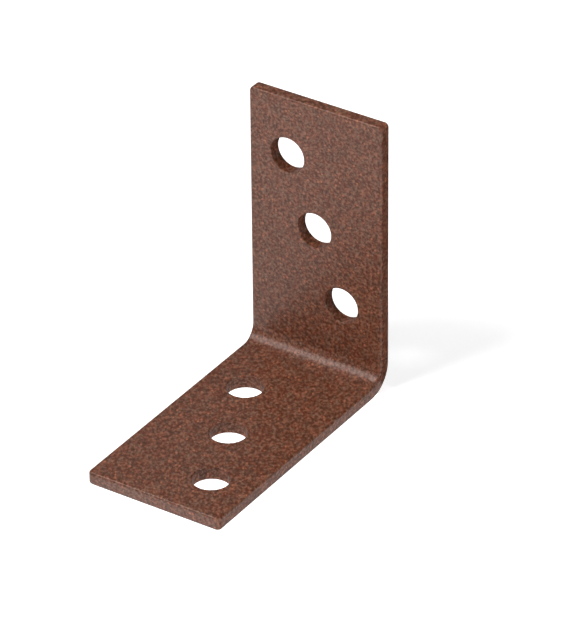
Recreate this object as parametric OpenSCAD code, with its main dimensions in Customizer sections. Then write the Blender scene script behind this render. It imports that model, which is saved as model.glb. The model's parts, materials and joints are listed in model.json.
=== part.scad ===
// Corner brace bracket: one strip of steel folded square, with a slanting row
// of screw holes in each leg. A thick textured coat softens every edge.
// X runs across the strip. The base leg lies on z = 0 and runs towards -Y from
// the fold, and the upright stands at the +Y side. The origin is the middle of
// the footprint.

/* [Strip] */
// Width of the strip
strip_w = 38; // [30:0.5:60]
// Thickness of the strip with its coat
strip_t = 3.5; // [2:0.1:6]
// Radius of the four corners, seen square on to a leg
corner_r = 1.2; // [1:0.1:8]
// Radius left on the long edges and on the ends by tumbling and the coat
edge_r = 0.4; // [0.1:0.05:0.5]

/* [Legs] */
// Length of the base leg, from the outer corner to its free end
base_len = 75; // [62:0.5:120]
// Height of the upright, from the outer corner to its free end
upright_len = 75; // [62:0.5:120]
// Radius inside the fold
fold_r = 4; // [1:0.5:8]

/* [Screw holes] */
// Holes in each leg
hole_count = 3; // [2:1:4]
// Diameter of a hole with its coat
hole_d = 9.5; // [4:0.1:12]
// Radius that softens both rims of a hole
rim_r = 0.25; // [0.1:0.05:0.6]
// From a side of the strip to the middle of the hole nearest that side
side_gap = 11.3; // [9:0.1:14]
// From the outer corner to the middle of the base leg's first hole
base_first = 23.7; // [20:0.1:32]
// From the middle of the base leg's last hole to its free end
base_end_gap = 13.5; // [9:0.1:18]
// From the outer corner to the middle of the upright's first hole
upright_first = 21.2; // [20:0.1:32]
// From the middle of the upright's last hole to its free end
upright_end_gap = 16; // [9:0.1:18]
// Shift of the upright's holes off its centre line, towards -X
upright_shift = 0.4; // [-2:0.1:2]

/* [Hidden] */
$fn = 96;
// Radius outside the fold
fold_outer_r = fold_r + strip_t;
// How far the cutter of a rim runs past the face that it softens
overrun = 1;
coat_colour = [0.44, 0.31, 0.26];

// Section of the strip: its outer face is on y = 0 and its inner face on
// y = strip_t
module strip_section() {
    translate([-strip_w / 2, edge_r])
        square([strip_w, strip_t - 2 * edge_r]);
    translate([edge_r - strip_w / 2, 0])
        square([strip_w - 2 * edge_r, strip_t]);
    for (side = [-1, 1], y = [edge_r, strip_t - edge_r])
        translate([side * (strip_w / 2 - edge_r), y])
            circle(edge_r);
}

// The last stretch of a leg, cut through its thickness: x runs out to the free
// end, where both edges are soft
module end_profile(length) {
    translate([0, edge_r])
        square([length, strip_t - 2 * edge_r]);
    square([length - edge_r, strip_t]);
    for (y = [edge_r, strip_t - edge_r])
        translate([length - edge_r, y])
            circle(edge_r);
}

// The straight stretch of a leg, lying on z = 0 with its free end at
// y = -leg_len: full width as far as the corners, narrower from there on
// between them, and a quarter turn of the same end profile for each corner
module leg_strip(leg_len) {
    translate([0, -fold_outer_r, 0])
        rotate([90, 0, 0])
            linear_extrude(leg_len - fold_outer_r - corner_r)
                strip_section();
    translate([strip_w / 2 - corner_r, -fold_outer_r, 0])
        rotate([90, 0, -90])
            linear_extrude(strip_w - 2 * corner_r)
                end_profile(leg_len - fold_outer_r);
    for (side = [0, 1])
        mirror([side, 0, 0])
            translate([strip_w / 2 - corner_r, corner_r - leg_len, 0])
                rotate(-90)
                    rotate_extrude(angle = 90)
                        end_profile(corner_r);
}

// Half profile of the soft rim at the face on y = 0
module rim_profile() {
    difference() {
        translate([0, -overrun])
            square([hole_d / 2 + rim_r, overrun + rim_r]);
        translate([hole_d / 2 + rim_r, rim_r])
            circle(rim_r);
    }
}

// Cutter for one hole through a strip between z = 0 and z = strip_t: a
// straight bore with a soft rim at each face
module hole_cutter() {
    rotate_extrude() {
        square([hole_d / 2, strip_t]);
        rim_profile();
        translate([0, strip_t])
            mirror([0, 1])
                rim_profile();
    }
}

// Cutters for a leg's holes, evenly spaced on a slant from one side of the
// strip, near the fold, to the other side near the free end
module hole_row(leg_len, first, end_gap, shift) {
    pitch = (leg_len - end_gap - first) / (hole_count - 1);
    near_x = side_gap - strip_w / 2;
    step = -2 * near_x / (hole_count - 1);
    for (i = [0 : hole_count - 1])
        translate([near_x + step * i + shift, -first - pitch * i, 0])
            hole_cutter();
}

module leg(leg_len, first, end_gap, shift) {
    difference() {
        leg_strip(leg_len);
        hole_row(leg_len, first, end_gap, shift);
    }
}

// The quarter turn of the strip between the legs
module fold() {
    translate([0, -fold_outer_r, fold_outer_r])
        rotate([0, 90, 0])
            rotate_extrude(angle = 90)
                translate([fold_outer_r, 0])
                    rotate(90)
                        strip_section();
}

// The upright is a leg turned half round about the line that halves the fold
module bracket() {
    color(coat_colour)
        translate([0, base_len / 2, 0]) {
            leg(base_len, base_first, base_end_gap, 0);
            fold();
            rotate(180, [0, -1, 1])
                leg(upright_len, upright_first, upright_end_gap, upright_shift);
        }
}

bracket();
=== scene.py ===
import json
import math

import bmesh
import bpy
from mathutils import Euler, Matrix, Vector


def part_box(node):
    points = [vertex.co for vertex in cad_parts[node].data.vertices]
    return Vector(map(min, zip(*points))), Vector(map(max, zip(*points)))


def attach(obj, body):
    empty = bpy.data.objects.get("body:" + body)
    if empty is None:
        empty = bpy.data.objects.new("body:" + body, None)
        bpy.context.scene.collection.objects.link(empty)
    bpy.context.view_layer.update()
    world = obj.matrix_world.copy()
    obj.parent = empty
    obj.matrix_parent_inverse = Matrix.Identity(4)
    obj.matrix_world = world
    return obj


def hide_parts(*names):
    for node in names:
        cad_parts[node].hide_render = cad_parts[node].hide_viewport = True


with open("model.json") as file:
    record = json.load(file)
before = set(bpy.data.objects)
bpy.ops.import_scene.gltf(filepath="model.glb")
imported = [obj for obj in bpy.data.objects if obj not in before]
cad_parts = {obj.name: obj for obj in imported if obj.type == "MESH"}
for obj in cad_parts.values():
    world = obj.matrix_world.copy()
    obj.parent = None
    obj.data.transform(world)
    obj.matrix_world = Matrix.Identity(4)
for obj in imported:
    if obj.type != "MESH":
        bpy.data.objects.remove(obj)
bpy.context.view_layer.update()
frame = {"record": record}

low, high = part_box("bracket")
bores = [m for m in frame["record"]["mounts"] if m["kind"] == "bore"]
tiny = 1e-6  # metres: places closer than this count as one
print("frame loaded,", len(bores), "screw holes")

# the photo's camera: far away with a long lens, looking down on the inside of the corner
cameraSetup = {
    "lookAt": (0.00275, 0.0149, 0.02575),
    "azimuth": 33.6,
    "elevation": 32.35,
    "roll": -0.58,
    "distance": 1.274,
    "lens": 296.1,  # for a 36 mm sensor along the picture's long side
    "clip": (0.05, 20),
}


def placeCamera(setup):
    camData = bpy.data.cameras.new("photoCamera")
    camData.lens = setup["lens"]
    camData.clip_start, camData.clip_end = setup["clip"]
    cam = bpy.data.objects.new("photoCamera", camData)
    bpy.context.scene.collection.objects.link(cam)
    tilt = Euler((math.radians(90 - setup["elevation"]), 0, math.radians(setup["azimuth"]))).to_matrix()
    turn = tilt @ Matrix.Rotation(math.radians(setup["roll"]), 3, "Z")
    back = turn @ Vector((0, 0, 1))
    cam.location = Vector(setup["lookAt"]) + back * setup["distance"]
    cam.rotation_euler = turn.to_euler()
    bpy.context.scene.camera = cam


placeCamera(cameraSetup)
print("camera placed")

# the folded strip: sizes in metres, its length, height and width come from the frame
stripSetup = {
    "thickness": 0.0035,
    "foldRadius": 0.004,  # inside the fold
    "foldSteps": 32,
    "cornerRadius": 0.0012,
    "cornerSteps": 8,
    "edgeRadius": 0.0006,
    "edgeSteps": 4,
    "holeSides": 96,
    "drillDepth": 0.0105,
    "rimRadius": 0.00025,
    "rimSteps": 4,
    "rimReach": 1.02,  # in hole radii: edges this near a hole's axis are its rims
    "sharp": 50,  # degrees: an edge that turns by more than this gets softened
}


def startFresh(obj=None):
    # leaves nothing selected, or only the object that the next steps work on
    if bpy.context.object and bpy.context.object.mode != "OBJECT":
        bpy.ops.object.mode_set(mode="OBJECT")
    bpy.ops.object.select_all(action="DESELECT")
    if obj:
        obj.select_set(True)
        bpy.context.view_layer.objects.active = obj


def pickEdges(obj, test):
    # in edit mode, selects the edges that pass the test and nothing else
    bpy.ops.mesh.select_mode(type="EDGE")
    bpy.ops.mesh.select_all(action="DESELECT")
    mesh = bmesh.from_edit_mesh(obj.data)
    picked = [edge for edge in mesh.edges if test(edge)]
    for edge in picked:
        edge.select_set(True)
    mesh.select_flush_mode()
    bmesh.update_edit_mesh(obj.data)
    return len(picked)


def sweepStrip(setup):
    thick, outer = setup["thickness"], setup["foldRadius"] + setup["thickness"]
    foldStart = high.y - outer
    startFresh()
    bpy.ops.mesh.primitive_plane_add(size=1, location=(0, low.y, thick / 2), rotation=(math.pi / 2, 0, 0))
    strip = bpy.context.object
    strip.name = strip.data.name = "foldedStrip"
    bpy.ops.object.transform_apply(location=True, rotation=True, scale=True)
    bpy.ops.object.mode_set(mode="EDIT")
    bpy.ops.mesh.select_all(action="SELECT")
    bpy.ops.transform.resize(value=(high.x - low.x, 1, thick), center_override=(0, low.y, thick / 2))
    bpy.ops.mesh.extrude_region_move(TRANSFORM_OT_translate={"value": (0, foldStart - low.y, 0)})
    bpy.ops.mesh.spin(
        steps=setup["foldSteps"], angle=-math.pi / 2, center=(0, foldStart, outer), axis=(1, 0, 0))
    bpy.ops.mesh.extrude_region_move(TRANSFORM_OT_translate={"value": (0, 0, high.z - outer)})
    bpy.ops.mesh.select_all(action="SELECT")
    bpy.ops.mesh.remove_doubles(threshold=tiny)
    bpy.ops.mesh.normals_make_consistent(inside=False)
    return strip


def softenStrip(strip, setup):
    # first the four corners seen square on, then every other edge all the way round
    def acrossThickness(edge):
        a, b = (v.co for v in edge.verts)
        atBaseEnd = max(a.y, b.y) < low.y + tiny
        atTopEnd = min(a.z, b.z) > high.z - tiny
        return (atBaseEnd or atTopEnd) and abs(a.x - b.x) < tiny
    pickEdges(strip, acrossThickness)
    bpy.ops.mesh.bevel(offset=setup["cornerRadius"], segments=setup["cornerSteps"], affect="EDGES")
    pickEdges(strip, lambda edge: edge.calc_face_angle(0) > math.radians(setup["sharp"]))
    bpy.ops.mesh.bevel(offset=setup["edgeRadius"], segments=setup["edgeSteps"], affect="EDGES")
    bpy.ops.object.mode_set(mode="OBJECT")


def drillHoles(strip, setup):
    drills = []
    for bore in bores:
        startFresh()
        axis = Vector(bore["axis"])
        bpy.ops.mesh.primitive_cylinder_add(
            vertices=setup["holeSides"], radius=bore["dims"]["r_mm"] / 1000, depth=setup["drillDepth"],
            location=bore["pos_m"], rotation=axis.to_track_quat("Z", "Y").to_euler())
        drills.append(bpy.context.object)
    for drill in drills:
        drill.select_set(True)
    bpy.ops.object.join()
    drill = bpy.context.object
    startFresh(strip)
    cut = strip.modifiers.new("holes", "BOOLEAN")
    cut.operation, cut.solver, cut.object = "DIFFERENCE", "EXACT", drill
    bpy.ops.object.modifier_apply(modifier=cut.name)
    bpy.data.objects.remove(drill)


def softenRims(strip, setup):
    def onRim(edge):
        middle = (edge.verts[0].co + edge.verts[1].co) / 2
        if edge.calc_face_angle(0) < math.radians(setup["sharp"]):
            return False
        for bore in bores:
            offset, axis = middle - Vector(bore["pos_m"]), Vector(bore["axis"])
            fromAxis = (offset - offset.dot(axis) * axis).length
            if fromAxis < bore["dims"]["r_mm"] / 1000 * setup["rimReach"]:
                return True
        return False
    startFresh(strip)
    bpy.ops.object.mode_set(mode="EDIT")
    rims = pickEdges(strip, onRim)
    bpy.ops.mesh.bevel(offset=setup["rimRadius"], segments=setup["rimSteps"], affect="EDGES")
    bpy.ops.object.mode_set(mode="OBJECT")
    bpy.ops.object.shade_smooth()
    flats = strip.modifiers.new("flats", "WEIGHTED_NORMAL")
    flats.weight = 100  # the most: the wide faces set the shading next to them, and look flat
    flats.keep_sharp = False
    bpy.ops.object.modifier_apply(modifier=flats.name)
    return rims


bracket = sweepStrip(stripSetup)
softenStrip(bracket, stripSetup)
drillHoles(bracket, stripSetup)
rimEdges = softenRims(bracket, stripSetup)
print("strip folded and drilled,", len(bracket.data.polygons), "faces,", rimEdges, "rim edges")

# the coat: lengths in metres, colours as they look in plain light
coatSetup = {
    "umber": (0.080, 0.022, 0.009),  # umber, brown and rose make the grain, copper the flecks
    "brown": (0.148, 0.054, 0.030),
    "rose": (0.260, 0.119, 0.075),
    "copper": (0.42, 0.14, 0.07),
    "copperShare": 0.85,
    "warmTint": (1.10, 0.95, 0.87),
    "coolTint": (0.92, 1.02, 1.05),
    "grain": 0.00066,
    "grainDetail": 2.0,
    "grainStops": (0.36, 0.50, 0.68),
    "grainTurn": 33.6,  # degrees, the way the spray lies a little long
    "grainStretch": 1.4,
    "fleckSpacing": 0.00085,
    "fleckLot": (0.86, 0.93),  # each cell draws 0 to 1: a faint fleck past the first, full past the second
    "fleckReach": (0.42, 0.22),  # in cells from a fleck's middle: where it fades out, where it is full
    "tintPatch": 0.0015,
    "tintDetail": 1.0,
    "tintStops": (0.38, 0.62),
    "noiseRoughness": 0.6,
    "bumpHeight": 0.00008,
    "roughness": 0.3,
    "gloss": 1.43,  # index of refraction
}


def coatMaterial(setup):
    material = bpy.data.materials.new("texturedCopperCoat")
    material.use_nodes = True
    nodes, links = material.node_tree.nodes, material.node_tree.links
    shader = nodes["Principled BSDF"]
    shader.inputs["Roughness"].default_value = setup["roughness"]
    shader.inputs["IOR"].default_value = setup["gloss"]
    place = nodes.new("ShaderNodeTexCoord")
    spray = nodes.new("ShaderNodeMapping")
    spray.vector_type = "TEXTURE"
    spray.inputs["Rotation"].default_value = (0, 0, math.radians(setup["grainTurn"]))
    spray.inputs["Scale"].default_value = (1, setup["grainStretch"], 1)
    links.new(place.outputs["Object"], spray.inputs["Vector"])

    def noise(size, detail):
        node = nodes.new("ShaderNodeTexNoise")
        node.inputs["Scale"].default_value = 1 / size
        node.inputs["Detail"].default_value = detail
        node.inputs["Roughness"].default_value = setup["noiseRoughness"]
        links.new(spray.outputs["Vector"], node.inputs["Vector"])
        return node

    def ramp(factor, stops, names):
        node = nodes.new("ShaderNodeValToRGB")
        band = node.color_ramp
        band.elements[0].position, band.elements[1].position = stops[0], stops[-1]
        for position in stops[1:-1]:
            band.elements.new(position)
        for element, name in zip(band.elements, names):
            element.color = (*setup[name], 1)
        links.new(factor, node.inputs["Fac"])
        return node.outputs["Color"]

    def mix(factor, first, second, blend):
        node = nodes.new("ShaderNodeMix")
        node.data_type, node.blend_type = "RGBA", blend
        if isinstance(factor, float):
            node.inputs["Factor"].default_value = factor
        else:
            links.new(factor, node.inputs["Factor"])
        links.new(first, node.inputs["A"])
        if isinstance(second, tuple):
            node.inputs["B"].default_value = (*second, 1)
        else:
            links.new(second, node.inputs["B"])
        return node.outputs["Result"]

    # fine grain, from dark umber through brown to rose
    grain = noise(setup["grain"], setup["grainDetail"])
    body = ramp(grain.outputs["Fac"], setup["grainStops"], ("umber", "brown", "rose"))
    # slow drift between a warmer and a cooler brown
    drift = noise(setup["tintPatch"], setup["tintDetail"])
    tint = ramp(drift.outputs["Fac"], setup["tintStops"], ("coolTint", "warmTint"))
    colour = mix(1.0, body, tint, "MULTIPLY")
    # copper flecks: one cell in ten carries one
    cells = nodes.new("ShaderNodeTexVoronoi")
    cells.inputs["Scale"].default_value = 1 / setup["fleckSpacing"]
    links.new(spray.outputs["Vector"], cells.inputs["Vector"])
    lot = nodes.new("ShaderNodeSeparateColor")
    links.new(cells.outputs["Color"], lot.inputs["Color"])
    chosen = nodes.new("ShaderNodeMapRange")
    chosen.inputs["From Min"].default_value, chosen.inputs["From Max"].default_value = setup["fleckLot"]
    links.new(lot.outputs["Red"], chosen.inputs["Value"])
    spot = nodes.new("ShaderNodeMapRange")
    spot.inputs["From Min"].default_value, spot.inputs["From Max"].default_value = setup["fleckReach"]
    spot.inputs["To Max"].default_value = setup["copperShare"]
    links.new(cells.outputs["Distance"], spot.inputs["Value"])
    fleck = nodes.new("ShaderNodeMath")
    fleck.operation = "MULTIPLY"
    links.new(chosen.outputs["Result"], fleck.inputs[0])
    links.new(spot.outputs["Result"], fleck.inputs[1])
    colour = mix(fleck.outputs["Value"], colour, setup["copper"], "MIX")
    links.new(colour, shader.inputs["Base Color"])
    # the grain stands up from the coat, which makes the gloss sparkle
    bump = nodes.new("ShaderNodeBump")
    bump.inputs["Distance"].default_value = setup["bumpHeight"]
    links.new(grain.outputs["Fac"], bump.inputs["Height"])
    links.new(bump.outputs["Normal"], shader.inputs["Normal"])
    return material


bracket.data.materials.clear()
bracket.data.materials.append(coatMaterial(coatSetup))
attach(bracket, "root")
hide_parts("bracket")
print("coat mixed")

# the studio: a pale floor under soft boxes, whose azimuths count as the camera's does. The
# cards are unseen by the camera and throw no shadow: each lights the colour or shows in the gloss
studioSetup = {
    "floorSize": 3.0,
    "floorDrop": 0.0001,  # keeps the floor off the underside, which it would flicker with
    "floorColour": (0.88, 0.88, 0.88),
    "floorRoughness": 0.9,
    "floorGlow": 0.7,
    "airGlow": 0.23,
    "lampAim": (0, 0, 0.03),
    "lamps": (
        # name, azimuth, elevation, distance, size, power, lights the colour, shows in the gloss
        ("keyBox", -33, 54, 1.0, 0.4, 8.0, True, False),
        ("sheenBox", -48, 51, 1.0, 0.75, 5.5, False, True),
        ("sideBox", 100, 45, 1.0, 0.4, 1.8, True, True),
        ("lowBox", 80, -3, 0.35, 0.05, 0.29, True, True),
        ("backBox", 180, 3, 1.0, 0.15, 5.5, True, False),
    ),
    "cards": (
        # name, low corner, high corner, height, glow, lights the colour, shows in the gloss
        ("leftCard", (-0.16, -0.16), (-0.0192, 0.034), 0.00005, 1.25, False, True),
        ("nearCard", (-0.046, -0.16), (-0.0192, -0.014), 0.0001, 0.9, False, True),
        ("frontCard", (-0.0192, -0.16), (0.0192, -0.0377), 0.0001, 1.8, False, True),
        ("rightCard", (0.0192, -0.0377), (0.16, 0.0377), 0.0001, 0.75, False, True),
        ("underCard", (-0.0192, -0.0377), (0.0192, 0.034), 0.0001, 0.45, False, True),
        ("holeCard", (-0.0188, -0.0373), (0.0188, 0.033), 0.00005, 1.5, True, False),
        ("backCard", (-0.5, 0.0377), (0.5, 0.7), 0.0001, 0.05, False, True),
        ("shadeCard", (-0.2, 0.0377), (0.07, 0.3), 0.00005, 0.05, True, False),
        ("darkRoof", (-0.044, 0.05), (0.12, 0.3), 0.078, 0.0, True, True),
        ("paleRoof", (-0.14, 0.05), (-0.046, 0.09), 0.078, 0.5, False, True),
    ),
}


def layPlane(name, size, place):
    startFresh()
    bpy.ops.mesh.primitive_plane_add(size=size, location=place)
    plane = bpy.context.object
    plane.name = name
    material = bpy.data.materials.new(name)
    material.use_nodes = True
    plane.data.materials.append(material)
    return plane, material.node_tree.nodes, material.node_tree.links


def layCard(name, lowCorner, highCorner, height, glow, inColour, inGloss):
    (left, front), (right, back) = lowCorner, highCorner
    card, nodes, _ = layPlane(name, 1, ((left + right) / 2, (front + back) / 2, height))
    card.scale = (right - left, back - front, 1)
    paint = nodes["Principled BSDF"]
    paint.inputs["Base Color"].default_value = (0, 0, 0, 1)
    paint.inputs["Specular IOR Level"].default_value = 0
    paint.inputs["Emission Color"].default_value = (1, 1, 1, 1)
    paint.inputs["Emission Strength"].default_value = glow
    card.visible_camera = card.visible_shadow = card.visible_transmission = False
    card.visible_diffuse, card.visible_glossy = inColour, inGloss


def seenDirectly(nodes, links):
    # one for the camera's rays and those that gloss and glass send on, nothing for the rest
    ray = nodes.new("ShaderNodeLightPath")
    total = ray.outputs["Is Camera Ray"]
    for other in ("Is Glossy Ray", "Is Transmission Ray"):
        add = nodes.new("ShaderNodeMath")
        add.operation = "ADD"
        add.use_clamp = True
        links.new(total, add.inputs[0])
        links.new(ray.outputs[other], add.inputs[1])
        total = add.outputs["Value"]
    return total


def layFloor(setup):
    floor, nodes, links = layPlane("studioFloor", setup["floorSize"], (0, 0, -setup["floorDrop"]))
    paint = nodes["Principled BSDF"]
    paint.inputs["Base Color"].default_value = (*setup["floorColour"], 1)
    paint.inputs["Roughness"].default_value = setup["floorRoughness"]
    glow = nodes.new("ShaderNodeEmission")
    strength = nodes.new("ShaderNodeMath")
    strength.operation = "MULTIPLY"
    strength.inputs[1].default_value = setup["floorGlow"]
    links.new(seenDirectly(nodes, links), strength.inputs[0])
    links.new(strength.outputs["Value"], glow.inputs["Strength"])
    both = nodes.new("ShaderNodeAddShader")
    links.new(paint.outputs["BSDF"], both.inputs[0])
    links.new(glow.outputs["Emission"], both.inputs[1])
    links.new(both.outputs["Shader"], nodes["Material Output"].inputs["Surface"])


def lightAir(setup):
    world = bpy.data.worlds.new("studioAir")
    bpy.context.scene.world = world
    world.use_nodes = True
    background = world.node_tree.nodes["Background"]
    background.inputs["Color"].default_value = (1, 1, 1, 1)
    background.inputs["Strength"].default_value = setup["airGlow"]


def hangLamp(aim, name, azimuth, elevation, distance, size, power, inColour, inGloss):
    light = bpy.data.lights.new(name, "AREA")
    light.shape, light.size, light.energy = "DISK", size, power
    lamp = bpy.data.objects.new(name, light)
    bpy.context.scene.collection.objects.link(lamp)
    turn = Euler((math.radians(90 - elevation), 0, math.radians(azimuth))).to_matrix()
    lamp.location = Vector(aim) + turn @ Vector((0, 0, distance))
    lamp.rotation_euler = turn.to_euler()
    lamp.visible_diffuse, lamp.visible_glossy = inColour, inGloss


def buildStudio(setup):
    layFloor(setup)
    lightAir(setup)
    for lamp in setup["lamps"]:
        hangLamp(setup["lampAim"], *lamp)
    for card in setup["cards"]:
        layCard(*card)


buildStudio(studioSetup)
bpy.context.scene.view_settings.view_transform = "Standard"
print("studio lit")
